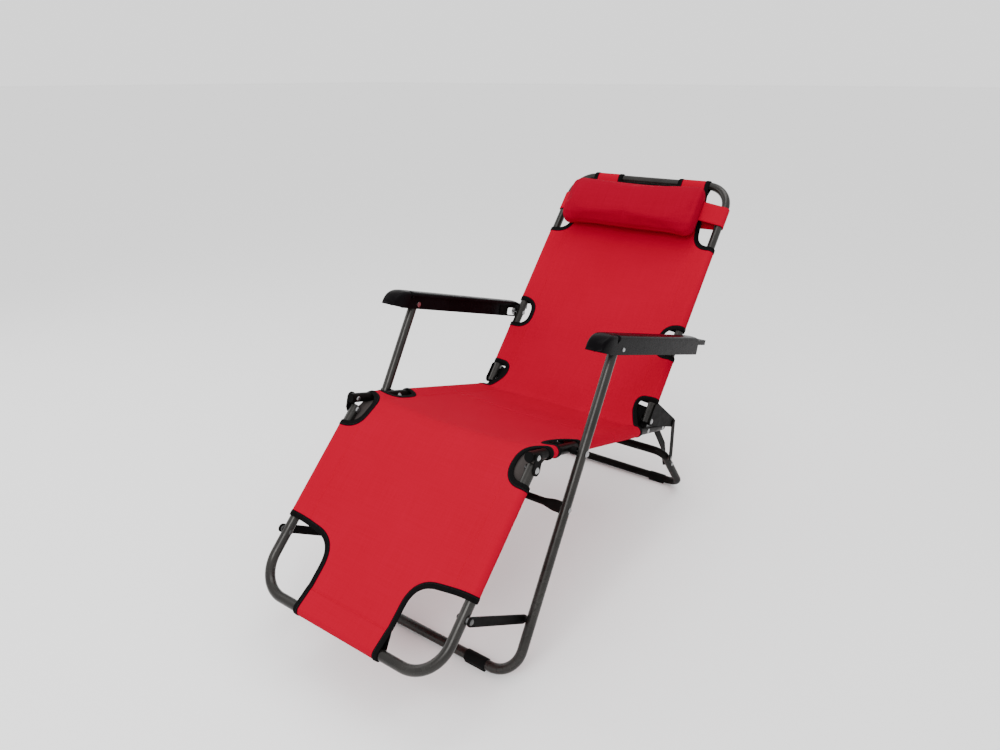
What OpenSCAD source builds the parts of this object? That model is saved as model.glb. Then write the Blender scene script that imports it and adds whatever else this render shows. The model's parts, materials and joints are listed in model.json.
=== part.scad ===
// Folding sun lounger: sling seat, reclining back, leg rest, slotted armrests and a loose head pillow.
// Frame: +X is the sitter's left, +Y runs from the feet to the head, +Z is up, and the floor is z = 0.

/* [Tubes] */
// Outer diameter of the main tubes
tube_d = 22; // [20:1:25]
// Wall thickness of the tubes
tube_wall = 1.2; // [1:0.1:2]
// Sideways distance from the middle to the axis of the seat, back, leg rest and rear tubes
frame_x = 244; // [230:1:260]
// Sideways distance from the middle to the axis of the front legs
leg_x = 280; // [276:1:290]

/* [Seat] */
// Slope of the seat rails, higher at the knees
seat_tilt = 16.4; // [10:0.1:20]
// Height of the leg pivot on the seat rails
pivot_height = 425; // [400:5:440]
// Distance along the rail from the leg pivot forward to the knee
knee_at = 138; // [120:1:160]
// Distance along the rail from the leg pivot back to the hip
hip_at = 410; // [380:1:430]
// Distance along the rail from the leg pivot back to the rear leg
rear_at = 509; // [490:1:530]
// Offset of the knee and hip hinges from the rail axis, which lets the tubes stack
hinge_offset = 26; // [25:0.5:30]

/* [Back] */
// Angle of the back above the horizontal
back_angle = 48.9; // [40:0.1:60]
// Distance from the hip hinge to the top bar
back_len = 702; // [650:1:750]
// Bend radius of the two top corners
back_bend = 70; // [50:1:90]
// Distance from the hip hinge to the armrest pin
pin_at = 218; // [200:1:240]

/* [Leg rest] */
// Angle of the leg rest below the horizontal
foot_angle = 43.6; // [30:0.1:60]
// Distance from the knee hinge to the end bar
foot_len = 431; // [400:1:460]
// Bend radius of the two end corners
foot_bend = 75; // [50:1:90]
// Distance from the knee hinge to the link rivet
link_at = 306; // [280:1:320]

/* [Front legs] */
// Angle of the front legs above the horizontal
leg_angle = 59.1; // [50:0.1:65]
// Distance from the leg pivot up to the armrest pivot
leg_up = 230; // [215:1:240]
// Bend radius of the two floor corners
leg_bend = 60; // [45:1:70]
// Distance from the leg pivot down to the crossbar
cross_at = 121; // [115:1:130]
// Distance from the leg pivot down to the level of the link
link_drop = 362; // [340:1:380]

/* [Rear leg] */
// Horizontal distance from the rear pivot to the rear floor bar
rear_reach = 196; // [180:1:210]
// Slope of the rear ring above the horizontal
ring_angle = 48.7; // [45:0.1:55]
// Length of the ring's sides, floor bar to upper bar
ring_side = 225; // [200:1:240]
// Bend radius of the floor corners
ring_bend = 40; // [30:1:50]
// Bend radius of the upper corners
ring_top_bend = 30; // [25:1:40]

/* [Armrests] */
// Length of the armrest behind its pivot
arm_back = 460; // [458:1:490]
// Length of the armrest in front of its pivot
arm_front = 95; // [90:1:115]
// Height of the armrest's top above its pivot
arm_top = 30; // [26:1:34]

/* [Sling and pillow] */
// Thickness of the sling
sling_t = 3; // [2:0.5:4]
// Length of the pillow across the back
pillow_w = 430; // [380:1:440]
// Height of the pillow along the back
pillow_h = 162; // [140:1:180]
// Thickness of the pillow
pillow_t = 70; // [60:1:80]
// Distance from the hip hinge to the pillow's lower edge
pillow_at = 514; // [500:1:520]

/* [Hidden] */
$fn = 48;
tube_r = tube_d / 2;
bore_r = tube_r - tube_wall;
face_x = frame_x + tube_r;
inner_x = frame_x - tube_r;
fit = 0.05;
bolt_r = 4;
rivet_r = 3;
pad_h = 13;
over = 7;
plate_t = 3;
sling_x = inner_x - 1;
sling_lift = 4;

// Points of the side view, as [y, z]
function dir(a) = [cos(a), sin(a)];
function nrm(a) = [-sin(a), cos(a)];
leg_pivot = [-206, pivot_height];
knee = leg_pivot - knee_at * dir(-seat_tilt) - hinge_offset * nrm(-seat_tilt);
hip = leg_pivot + hip_at * dir(-seat_tilt) + hinge_offset * nrm(-seat_tilt);
rear_pivot = leg_pivot + rear_at * dir(-seat_tilt);
arm_pivot = leg_pivot + leg_up * dir(leg_angle);
leg_down = (pivot_height - pad_h) / sin(leg_angle);
rear_foot = [rear_pivot[0] + rear_reach, pad_h];
stay_on_ring = 200;
stay_foot = rear_foot + stay_on_ring * dir(180 - ring_angle);
elbow = rear_pivot + [60, -8];
link_c = knee - link_at * dir(foot_angle);
link_d = leg_pivot - link_drop * dir(leg_angle);

// Layers across the width, from the tubes' outer face outwards
gusset_x = face_x + 0.8;
gusset_t = 2.2;
stay_x = gusset_x + gusset_t + 0.3;
stay_t = 2.2;
link_x = face_x + 5;
link_t = 4;
track_x = face_x + 7.2;
track_t = 1.8;
skirt_x = track_x + track_t;
skirt_t = 2.2;
leg_in = leg_x - tube_r;
leg_out = leg_x + tube_r;
outer_skirt_x = leg_out + 8;
shell_in = face_x + 1.5;
shell_out = outer_skirt_x + 5;

// Armrest channel and its slot, measured along and across the armrest from its pivot
roof = 18;
skirt_low = -14.5;
channel_front = -62;
slot_from = 402;
slot_to = 451;
slot_half = 10.6;

// Places children in a side-view frame: origin at p, local Y along angle a, local Z square to it
module at_yz(p, a) {
    translate([0, p[0], p[1]]) rotate([a, 0, 0]) children();
}

// A child and its mirror image across the middle of the chair
module both_sides() {
    children();
    mirror([1, 0, 0]) children();
}

// A round bar of radius r along X from x0 to x1
module x_bar(x0, x1, r) {
    translate([x0, 0, 0]) rotate([0, 90, 0]) cylinder(r = r, h = x1 - x0);
}

// A straight round bar along local Y at sideways place x
module y_bar(x, y0, y1, r) {
    translate([x, y0, 0]) rotate([-90, 0, 0]) cylinder(r = r, h = y1 - y0);
}

// A bent U: two sides from y = start, two corners of radius bend, and a bar at y = run
module u_bar(half, start, run, bend, r) {
    both_sides() {
        y_bar(half, start, run - bend, r);
        translate([half - bend, run - bend, 0])
            rotate_extrude(angle = 90) translate([bend, 0]) circle(r = r);
    }
    translate([0, run, 0]) x_bar(bend - half, half - bend, r);
}

// The same U as a hollow tube with cross holes of radius hole at the distances given in holes
module u_tube(half, start, run, bend, holes, hole) {
    difference() {
        u_bar(half, start, run, bend, tube_r);
        u_bar(half, start - 1, run, bend, bore_r);
        for (y = holes) both_sides() translate([0, y, 0])
            x_bar(half - tube_r - 1, half + tube_r + 1, hole + fit);
    }
}

// A fastener along X: a shank from x0 to x1 with a low cone head on each end
module pin(x0, x1, r, head_r, head_h) {
    x_bar(x0, x1, r);
    translate([x1, 0, 0]) rotate([0, 90, 0]) cylinder(r1 = head_r, r2 = head_r * 0.6, h = head_h);
    translate([x0, 0, 0]) rotate([0, -90, 0]) cylinder(r1 = head_r, r2 = head_r * 0.6, h = head_h);
}

// A flat bar with round ends between side-view points p and q, from sideways place x0, t thick
module flat_bar(p, q, w, x0, t) {
    d = q - p;
    a = atan2(d[1], d[0]);
    at_yz(p, a) {
        x_bar_at(0, x0, t, w / 2);
        x_bar_at(norm(d), x0, t, w / 2);
        translate([x0, 0, -w / 2]) cube([t, norm(d), w]);
    }
}

// A disc of radius r at distance y along the local axis
module x_bar_at(y, x0, t, r) {
    translate([0, y, 0]) x_bar(x0, x0 + t, r);
}

// A plug for an open tube end at local y, whose flange points along way (1 or -1)
module end_cap(x, y, way) {
    y_bar(x, min(y, y + way * 2), max(y, y + way * 2), tube_r - 1);
    y_bar(x, min(y - way * 9, y), max(y - way * 9, y), bore_r - 0.1);
}

// ---------- Seat frame ----------
module seat_rail() {
    color("dimgray") at_yz(leg_pivot, -seat_tilt) difference() {
        y_bar(frame_x, -knee_at - 16, rear_at + 15, tube_r);
        y_bar(frame_x, -knee_at - 17, rear_at + 16, bore_r);
        for (y = [0, rear_at]) translate([0, y, 0]) x_bar(inner_x - 1, face_x + 1, bolt_r + fit);
        for (y = [-knee_at - 2, hip_at + 1]) translate([0, y, 0])
            x_bar(inner_x - 1, face_x + 1, rivet_r + fit);
    }
}
module seat_rail_left() { seat_rail(); }
module seat_rail_right() { mirror([1, 0, 0]) seat_rail(); }

module rail_end_caps() {
    color("black") both_sides() at_yz(leg_pivot, -seat_tilt) {
        end_cap(frame_x, -knee_at - 16, -1);
        end_cap(frame_x, rear_at + 15, 1);
    }
}

// A hinge plate from the rail to an offset hinge, on the side of the rail that starts at x0
module hinge_plate(y_rail, y_hinge, z_hinge, x0) {
    at_yz(leg_pivot, -seat_tilt) difference() {
        union() {
            x_bar_at(y_rail, x0, plate_t, 11.5);
            translate([0, y_hinge, z_hinge]) x_bar(x0, x0 + plate_t, 11.5);
            translate([x0, min(y_rail, y_hinge) - 11.5, min(0, z_hinge)])
                cube([plate_t, 23 + abs(y_rail - y_hinge), abs(z_hinge)]);
        }
        translate([0, y_rail, 0]) x_bar(x0 - 1, x0 + plate_t + 1, rivet_r + fit);
        translate([0, y_hinge, z_hinge]) x_bar(x0 - 1, x0 + plate_t + 1, bolt_r + fit);
    }
}
module knee_bracket_left() {
    color("gray") hinge_plate(-knee_at - 2, -knee_at, -hinge_offset, face_x + 0.3);
}
module knee_bracket_right() { mirror([1, 0, 0]) knee_bracket_left(); }
module hip_bracket_left() {
    color("gray") hinge_plate(hip_at + 1, hip_at, hinge_offset, inner_x - 0.3 - plate_t);
}
module hip_bracket_right() { mirror([1, 0, 0]) hip_bracket_left(); }

module bracket_rivets() {
    color("silver") both_sides() at_yz(leg_pivot, -seat_tilt) {
        translate([0, -knee_at - 2, 0]) pin(inner_x, face_x + 0.3 + plate_t, rivet_r, 6, 2);
        translate([0, hip_at + 1, 0]) pin(inner_x - 0.3 - plate_t, face_x, rivet_r, 6, 0.7);
    }
}
module knee_bolts() {
    color("silver") both_sides() at_yz(knee, 0)
        pin(inner_x - 0.2, face_x + 0.3 + plate_t, bolt_r, 7, 2.5);
}
module hip_bolts() {
    color("silver") both_sides() at_yz(hip, 0)
        pin(inner_x - 0.3 - plate_t, gusset_x + gusset_t + 0.2, bolt_r, 7, 2);
}
module leg_bolts() {
    color("silver") both_sides() at_yz(leg_pivot, 0) pin(inner_x, leg_out + 0.2, bolt_r, 7, 2.5);
}
module leg_bushes() {
    color("black") both_sides() at_yz(leg_pivot, 0) difference() {
        x_bar(face_x, leg_in - 0.2, 9);
        x_bar(face_x - 1, leg_in + 1, bolt_r + fit);
    }
}
module rear_bolts() {
    color("silver") both_sides() at_yz(rear_pivot, 0) {
        x_bar(inner_x - 0.5 - plate_t, face_x + 0.4, bolt_r);
        x_bar(face_x, face_x + 0.4, 6);
        translate([inner_x - 0.5 - plate_t, 0, 0]) rotate([0, -90, 0]) cylinder(r1 = 7, r2 = 4.5, h = 2);
    }
}

// A flat sling between the side tubes, from local y0 to y1, with the half-round cuts given in cuts
// as [middle, half length, depth]
module sling(y0, y1, cuts) {
    translate([0, 0, sling_lift]) difference() {
        translate([-sling_x, y0, 0]) cube([2 * sling_x, y1 - y0, sling_t]);
        for (c = cuts) both_sides() translate([frame_x, c[0], -1]) {
            reach = frame_x - inner_x + c[2];
            translate([-reach + 18, -c[1], 0]) cube([40, 2 * c[1], sling_t + 2]);
            translate([-reach, 18 - c[1], 0]) cube([40, 2 * c[1] - 36, sling_t + 2]);
            for (s = [-1, 1]) translate([-reach + 18, s * (c[1] - 18), 0])
                cylinder(r = 18, h = sling_t + 2);
        }
    }
}
module seat_sling() {
    color("crimson") at_yz(leg_pivot, -seat_tilt) sling(34 - knee_at, hip_at - 38, [[19, 60, 24]]);
}

// ---------- Back ----------
module backrest_tube() {
    color("dimgray") at_yz(hip, back_angle)
        u_tube_two(frame_x, -over, back_len, back_bend, [0], bolt_r, [pin_at], rivet_r);
}
// A U tube with two sizes of cross hole
module u_tube_two(half, start, run, bend, big, big_r, small, small_r) {
    difference() {
        u_tube(half, start, run, bend, big, big_r);
        for (y = small) both_sides() translate([0, y, 0])
            x_bar(half - tube_r - 1, half + tube_r + 1, small_r + fit);
    }
}
module backrest_end_caps() {
    color("black") both_sides() at_yz(hip, back_angle) cap_with_notch(-over);
}
// An end plug cut away round the bolt that crosses the tube near its end
module cap_with_notch(y) {
    y_bar(frame_x, y - 2, y, tube_r - 1);
    y_bar(frame_x, y - 0.1, y + 2.5, bore_r - 0.1);
}
module back_sling() {
    color("crimson") at_yz(hip, back_angle) difference() {
        sling(42, back_len - tube_r - 2, [[pin_at, 40, 24]]);
        both_sides() translate([186, 545, 0]) cube([60, 160, 12]);
        translate([-87, back_len - 32, 0]) cube([174, 40, 12]);
    }
}
module armrest_pins() {
    color("silver") both_sides() at_yz(hip, back_angle) translate([0, pin_at, 0]) {
        x_bar(inner_x, skirt_x + skirt_t + 0.4, rivet_r);
        x_bar(skirt_x + skirt_t + 0.3, skirt_x + skirt_t + 2, 11);
        x_bar(inner_x - 1.5, inner_x, 6);
    }
}

// ---------- Pillow ----------
// A boxy rounded section, as points from the middle
pillow_outline = [for (a = [0 : 10 : 350])
    [pillow_h / 2 * sign(cos(a)) * pow(abs(cos(a)), 0.7),
        pillow_t / 2 * sign(sin(a)) * pow(abs(sin(a)), 0.8)]];
module pillow() {
    color("crimson") at_yz(hip, back_angle)
        translate([-pillow_w / 2, pillow_at + pillow_h / 2, sling_lift + sling_t + 3 + pillow_t / 2])
            rotate([90, 0, 90]) linear_extrude(pillow_w) polygon(pillow_outline);
}
strap_from = pillow_at + 58;
strap_w = 60;
module strap_ring(r) {
    polygon([
        for (a = [-90 : 15 : 90]) [frame_x + r * cos(a), r * sin(a)],
        for (a = [90 : 15 : 270]) [r * cos(a) - frame_x, r * sin(a)]
    ]);
}
module pillow_strap() {
    color("crimson") at_yz(hip, back_angle) translate([0, strap_from, 0]) rotate([-90, 0, 0])
        linear_extrude(strap_w) difference() {
            strap_ring(tube_r + 2.7);
            strap_ring(tube_r + 1.5);
            translate([-pillow_w / 2, -30]) square([pillow_w, 30]);
        }
}

// ---------- Leg rest ----------
module footrest_tube() {
    color("dimgray") at_yz(knee, foot_angle) rotate([0, 0, 180])
        u_tube_two(frame_x, -over, foot_len, foot_bend, [0], bolt_r, [link_at], rivet_r);
}
module footrest_end_caps() {
    color("black") both_sides() at_yz(knee, foot_angle) rotate([0, 0, 180]) cap_with_notch(-over);
}
module foot_sling() {
    color("crimson") at_yz(knee, foot_angle) difference() {
        translate([0, -foot_len, 0]) foot_panel();
        both_sides() translate([corner_x, -foot_len, 0]) corner_cut();
    }
}
// The large rounded cut-out in each lower corner, from the end bar up
corner_x = 118;
corner_up = 158;
corner_r = 60;
module corner_cut() {
    cube([frame_x, corner_up - corner_r, 12]);
    translate([corner_r, 0, 0]) cube([frame_x, corner_up, 12]);
    translate([corner_r, corner_up - corner_r, 0]) cylinder(r = corner_r, h = 12);
}
// The leg rest's sling from the end bar up to just below the knee
module foot_panel() {
    sling(tube_r + 1, foot_len - 38, [[foot_len - 16, 36, 24]]);
}
module link_rivets() {
    color("silver") both_sides() at_yz(link_c, 0) {
        pin(inner_x, link_x + link_t + 0.1, rivet_r, 6, 2);
        x_bar(face_x, link_x - 0.1, 7);
    }
}
module foot_link() {
    color("dimgray") {
        difference() {
            flat_bar(link_c, link_d, 19, link_x, link_t);
            at_yz(link_c, 0) x_bar(link_x - 1, link_x + link_t + 1, rivet_r + fit);
        }
        at_yz(link_d, 0) x_bar(link_x - 2, leg_in - 1, 5);
    }
}
module foot_link_left() { foot_link(); }
module foot_link_right() { mirror([1, 0, 0]) foot_link(); }

// ---------- Front legs ----------
module front_leg_tube() {
    color("dimgray") at_yz(leg_pivot, leg_angle) difference() {
        rotate([0, 0, 180])
            u_tube(leg_x, -leg_up - 8, leg_down, leg_bend, [-leg_up, 0], bolt_r);
        both_sides() translate([0, -cross_at, 0]) x_bar(leg_in - 1, leg_out + 1, rivet_r + fit);
    }
}
module leg_top_caps() {
    color("black") both_sides() at_yz(leg_pivot, leg_angle) {
        y_bar(leg_x, leg_up + 8, leg_up + 9.5, tube_r - 1);
        y_bar(leg_x, leg_up + 5, leg_up + 8.1, bore_r - 0.1);
    }
}
module leg_crossbar() {
    color("dimgray") at_yz(leg_pivot, leg_angle) translate([0, -cross_at, 0]) difference() {
        union() {
            x_bar(-leg_in + 6, leg_in - 6, 8);
            both_sides() x_bar(leg_in - 6.1, leg_in - 0.1, 11);
        }
        x_bar(-leg_in + 7.5, leg_in - 7.5, 8 - tube_wall);
        both_sides() x_bar(leg_in - 8, leg_in + 1, rivet_r + fit);
    }
}
module crossbar_rivets() {
    color("silver") both_sides() at_yz(leg_pivot, leg_angle) translate([0, -cross_at, 0]) {
        x_bar(leg_in - 7, leg_out, rivet_r);
        translate([leg_out, 0, 0]) rotate([0, 90, 0]) cylinder(r1 = 6, r2 = 3.5, h = 2);
    }
}
// A plastic sleeve round a floor bar at height pad_h, with a flat pad under it
module foot_sleeve(y, x0, x1) {
    difference() {
        union() {
            translate([0, y, pad_h]) x_bar(x0, x1, tube_r + 1.9);
            translate([x0, y - 9, 0]) cube([x1 - x0, 18, pad_h]);
        }
        translate([0, y, pad_h]) x_bar(x0 - 1, x1 + 1, tube_r);
    }
}
module front_foot_sleeves() {
    color("black") both_sides()
        foot_sleeve(leg_pivot[0] - leg_down * cos(leg_angle), 160, 212);
}

// ---------- Armrests ----------
// Side view of the armrest from its pivot: a nose that curls down, a flat top and a square rear end
arm_outline = [
    [-arm_front, -5], [channel_front - 2, -11], [channel_front, skirt_low + 2], [-30, skirt_low],
    [arm_back - 14, skirt_low], [arm_back, skirt_low + 10], [arm_back, arm_top],
    [channel_front + 4, arm_top - 1],
    for (t = [1 : 6]) [channel_front + 4 - (arm_front + channel_front + 4) * sin(15 * t),
        arm_top - 1 - (arm_top + 4) * (1 - cos(15 * t))]
];
module arm_block(x0, x1) {
    translate([x0, 0, 0]) rotate([90, 0, 90]) linear_extrude(x1 - x0) polygon(arm_outline);
}
module armrest() {
    color("black") at_yz(arm_pivot, -seat_tilt) difference() {
        union() {
            arm_block(shell_in, shell_out);
            translate([skirt_x - 2, arm_back - 1, 9]) cube([shell_out - skirt_x - 2, 61, 15]);
        }
        // the channel that the leg and the pin run in
        translate([skirt_x + skirt_t, channel_front, -40])
            cube([outer_skirt_x - skirt_x - skirt_t, arm_back - channel_front + 90, 40 + roof]);
        // room for the tubes and stays beside the inner skirt, and a step outside the outer one
        translate([shell_in - 1, -arm_front - 1, -40])
            cube([skirt_x - shell_in + 1, arm_front + arm_back + 90, 40 + roof]);
        translate([outer_skirt_x + 3, -arm_front + 20, -40])
            cube([9, arm_front + arm_back + 90, 40 + roof]);
        // the slot for the pin
        translate([skirt_x - 1, slot_from, -slot_half])
            cube([skirt_t + 2, slot_to - slot_from, 2 * slot_half]);
        // the pivot screw's holes
        x_bar(skirt_x - 1, skirt_x + skirt_t + 1, bolt_r + fit);
        x_bar(outer_skirt_x - 1, outer_skirt_x + 4, bolt_r + fit);
    }
}
module armrest_left() { armrest(); }
module armrest_right() { mirror([1, 0, 0]) armrest(); }

module armrest_track() {
    color("silver") at_yz(arm_pivot, -seat_tilt) difference() {
        translate([track_x, slot_from - 40, -13.5]) cube([track_t, slot_to - slot_from + 47, 30]);
        translate([track_x - 1, slot_from, -slot_half])
            cube([track_t + 2, slot_to - slot_from, 2 * slot_half]);
    }
}
module armrest_track_left() { armrest_track(); }
module armrest_track_right() { mirror([1, 0, 0]) armrest_track(); }

module armrest_screw() {
    color("silver") at_yz(arm_pivot, 0) {
        x_bar(skirt_x - 0.5, outer_skirt_x + 3, bolt_r);
        translate([outer_skirt_x + 3, 0, 0]) rotate([0, 90, 0]) cylinder(r1 = 4.8, r2 = 3.4, h = 1.9);
        x_bar(skirt_x - 2, skirt_x, 6.5);
    }
}
module armrest_screw_left() { armrest_screw(); }
module armrest_screw_right() { mirror([1, 0, 0]) armrest_screw(); }

// ---------- Rear leg ----------
// A closed rectangular loop of round bar with its floor side at local y = 0
module ring_bar(r) {
    both_sides() {
        y_bar(frame_x, ring_bend, ring_side - ring_top_bend, r);
        translate([frame_x - ring_top_bend, ring_side - ring_top_bend, 0])
            rotate_extrude(angle = 90) translate([ring_top_bend, 0]) circle(r = r);
        translate([frame_x - ring_bend, ring_bend, 0])
            rotate([0, 0, -90]) rotate_extrude(angle = 90) translate([ring_bend, 0]) circle(r = r);
    }
    x_bar(ring_bend - frame_x, frame_x - ring_bend, r);
    translate([0, ring_side, 0]) x_bar(ring_top_bend - frame_x, frame_x - ring_top_bend, r);
}
module rear_leg_ring() {
    color("dimgray") at_yz(rear_foot, 180 - ring_angle) difference() {
        ring_bar(tube_r);
        ring_bar(bore_r);
        both_sides() for (y = [plate_at, stay_on_ring]) translate([0, y, 0])
            x_bar(inner_x - 1, face_x + 1, rivet_r + fit);
    }
}
// The plates start on the ring's sides and bow out behind its upper corners to the rear pivots
plate_at = 155;
plate_w = 20;
plate_foot = rear_foot + plate_at * dir(180 - ring_angle);
plate_knuckle = rear_foot + (ring_side - 10) * dir(180 - ring_angle) + 24 * dir(90 - ring_angle);
module rear_plate() {
    color("dimgray") difference() {
        union() {
            flat_bar(plate_foot, plate_knuckle, plate_w, inner_x - 0.4 - plate_t, plate_t);
            flat_bar(plate_knuckle, rear_pivot, plate_w + 2, inner_x - 0.4 - plate_t, plate_t);
        }
        at_yz(plate_foot, 0) x_bar(inner_x - 8, face_x, rivet_r + fit);
        at_yz(rear_pivot, 0) x_bar(inner_x - 8, face_x, bolt_r + fit);
    }
}
module rear_plate_left() { rear_plate(); }
module rear_plate_right() { mirror([1, 0, 0]) rear_plate(); }
module rear_plate_rivets() {
    color("silver") both_sides() at_yz(plate_foot, 0) pin(inner_x - 0.4 - plate_t, face_x, rivet_r, 6, 2);
}
module stay_rivets() {
    color("silver") both_sides() at_yz(stay_foot, 0) {
        x_bar(inner_x - 0.2, stay_x + stay_t + 0.2, rivet_r);
        x_bar(face_x, stay_x - 0.1, 7);
        x_bar(stay_x + stay_t + 0.1, stay_x + stay_t + 1.2, 6);
    }
}
module rear_foot_sleeves() {
    color("black") both_sides() foot_sleeve(rear_foot[0], 150, 196);
}

// ---------- Rear stays ----------
module gusset() {
    a = atan2(elbow[1] - hip[1], elbow[0] - hip[0]);
    reach = norm(elbow - hip);
    color("dimgray") difference() {
        union() {
            flat_bar(hip, elbow, 24, gusset_x, gusset_t);
            at_yz(hip, a) translate([gusset_x, 0, 0]) rotate([90, 0, 90]) linear_extrude(gusset_t)
                polygon([[-12, 0], [4, 44], [20, 48], [reach + 6, 11], [reach, 0]]);
        }
        at_yz(hip, 0) x_bar(gusset_x - 1, gusset_x + gusset_t + 1, bolt_r + fit);
    }
}
module gusset_left() { gusset(); }
module gusset_right() { mirror([1, 0, 0]) gusset(); }
module stay() {
    color("dimgray") {
        difference() {
            flat_bar(stay_foot, elbow, 20, stay_x, stay_t);
            at_yz(stay_foot, 0) x_bar(stay_x - 1, stay_x + stay_t + 1, rivet_r + fit);
        }
        at_yz(elbow, 0) x_bar(stay_x + stay_t - 0.1, stay_x + stay_t + 1.2, 7);
    }
}
module stay_left() { stay(); }
module stay_right() { mirror([1, 0, 0]) stay(); }

seat_rail_left();
seat_rail_right();
rail_end_caps();
knee_bracket_left();
knee_bracket_right();
hip_bracket_left();
hip_bracket_right();
bracket_rivets();
knee_bolts();
hip_bolts();
leg_bolts();
leg_bushes();
rear_bolts();
seat_sling();
backrest_tube();
backrest_end_caps();
back_sling();
armrest_pins();
pillow();
pillow_strap();
footrest_tube();
footrest_end_caps();
foot_sling();
link_rivets();
foot_link_left();
foot_link_right();
front_leg_tube();
leg_top_caps();
leg_crossbar();
crossbar_rivets();
front_foot_sleeves();
armrest_left();
armrest_right();
armrest_track_left();
armrest_track_right();
armrest_screw_left();
armrest_screw_right();
rear_leg_ring();
rear_plate_left();
rear_plate_right();
rear_plate_rivets();
stay_rivets();
rear_foot_sleeves();
gusset_left();
gusset_right();
stay_left();
stay_right();
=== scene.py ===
# %% [markdown]
# Folding sun lounger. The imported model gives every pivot, tube and plate, so this lesson only dresses it:
# a sewn sling that wraps the tubes, black bound cut-outs, a stuffed head pillow on a strap, moulded armrests,
# and a finish for each metal and plastic part. Lengths are metres, +X is the sitter's left, +Y runs from the
# feet to the head and +Z is up.

# %% Load the model
import bpy, bmesh, json, math
import numpy as np
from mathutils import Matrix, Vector, geometry


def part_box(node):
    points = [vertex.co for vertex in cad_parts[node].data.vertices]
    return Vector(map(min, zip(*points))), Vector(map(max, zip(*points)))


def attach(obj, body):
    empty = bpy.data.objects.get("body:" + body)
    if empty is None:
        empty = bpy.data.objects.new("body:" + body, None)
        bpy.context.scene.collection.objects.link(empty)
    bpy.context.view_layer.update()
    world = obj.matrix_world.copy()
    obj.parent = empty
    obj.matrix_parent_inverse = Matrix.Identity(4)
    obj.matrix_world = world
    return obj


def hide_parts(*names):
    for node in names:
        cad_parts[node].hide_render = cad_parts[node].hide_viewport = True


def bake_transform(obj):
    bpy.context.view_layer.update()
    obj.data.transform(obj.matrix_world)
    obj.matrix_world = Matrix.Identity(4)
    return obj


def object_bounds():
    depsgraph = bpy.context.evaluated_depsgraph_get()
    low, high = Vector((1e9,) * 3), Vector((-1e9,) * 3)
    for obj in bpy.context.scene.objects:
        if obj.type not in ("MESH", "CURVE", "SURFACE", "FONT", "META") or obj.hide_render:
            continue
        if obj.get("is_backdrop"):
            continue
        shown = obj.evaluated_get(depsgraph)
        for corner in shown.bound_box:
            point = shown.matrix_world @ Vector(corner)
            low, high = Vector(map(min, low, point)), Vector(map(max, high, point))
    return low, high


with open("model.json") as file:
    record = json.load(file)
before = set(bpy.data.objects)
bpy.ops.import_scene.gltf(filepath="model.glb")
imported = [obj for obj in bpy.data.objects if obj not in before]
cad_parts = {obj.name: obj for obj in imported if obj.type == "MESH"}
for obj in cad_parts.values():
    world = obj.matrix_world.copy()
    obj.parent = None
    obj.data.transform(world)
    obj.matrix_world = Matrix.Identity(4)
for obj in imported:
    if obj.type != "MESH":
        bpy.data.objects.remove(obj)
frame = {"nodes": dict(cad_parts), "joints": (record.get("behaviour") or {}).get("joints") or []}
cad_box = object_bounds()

# %% [markdown]
# The camera stands to the sitter's left of the foot end, a little above eye level for a seated person, with a
# moderately wide lens. It is made first, so every later step can be looked at from the same place.

# %% Camera
camera = bpy.data.objects.new("camera", bpy.data.cameras.new("camera"))
bpy.context.scene.collection.objects.link(camera)
camera.data.sensor_width = 36
camera.data.lens = 26.70
camera.location = (0.9349, -1.4196, 1.1545)
camera.rotation_euler = (math.radians(67.93), 0, math.radians(35.49))
camera.data.dof.use_dof = False
bpy.context.scene.camera = camera
print("camera at", tuple(round(c, 3) for c in camera.location))

# %% [markdown]
# A lounger is drawn in side view. Its hinges come from the record's joints, and three straight lines join
# them: the leg rest, the seat and the back. Each line has a heading that runs towards the head, and the
# sitter's side lies square to it. Everything sewn is placed from these lines, so it stays on its tubes.

# %% Hinges and the three lines of the side view
joint = {j["name"]: j for j in frame["joints"]}

def hinge_point(name):
    return np.array(joint[name]["pos_m"][1:])

def heading(a, b):
    return (b - a) / np.linalg.norm(b - a)

def sitters_side(run):
    return np.array([-run[1], run[0]])

knee, hip = hinge_point("footrest_swing"), hinge_point("backrest_recline")
leg_pivot, rear_pivot = hinge_point("front_leg_swing"), hinge_point("rear_leg_swing")
arm_pivot, link_rivet = hinge_point("armrest_left_pivot"), hinge_point("foot_link_pivot")
rest_run, seat_run = heading(link_rivet, knee), heading(leg_pivot, rear_pivot)
back_run = np.array(joint["pillow_slide"]["axis"][1:])
rail_low, rail_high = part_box("seat_rail_left")
tube_r = (rail_high.x - rail_low.x) / 2
tube_x = (rail_high.x + rail_low.x) / 2
rest_len = (knee[0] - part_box("footrest_tube")[0].y - tube_r) / rest_run[0]
back_len = (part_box("backrest_tube")[1].y - tube_r - hip[0]) / back_run[0]
print(f"tube radius {tube_r:.4f}, leg rest {rest_len:.3f}, back {back_len:.3f}")

# %% [markdown]
# The sling is one band of cloth from the end bar of the leg rest to the top bar of the back. Its centre line
# follows the leg rest, turns over the knee, follows the seat, turns up at the hip and follows the back. A
# quadratic curve makes each turn, so the cloth bends softly, as taut cloth does. Distances along the cloth
# are called v, and v is 0 over the end bar.

# %% Centre line of the sling
def on_line(start, run, distance):
    return start + distance * run

def crossing(p, run_p, q, run_q):
    a = np.linalg.solve(np.array([run_p, -run_q]).T, q - p)
    return p + a[0] * run_p

def turn(p, corner, q, steps=24):
    k = np.linspace(0, 1, steps)[:, None]
    return (1 - k) ** 2 * p + 2 * k * (1 - k) * corner + k ** 2 * q

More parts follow.
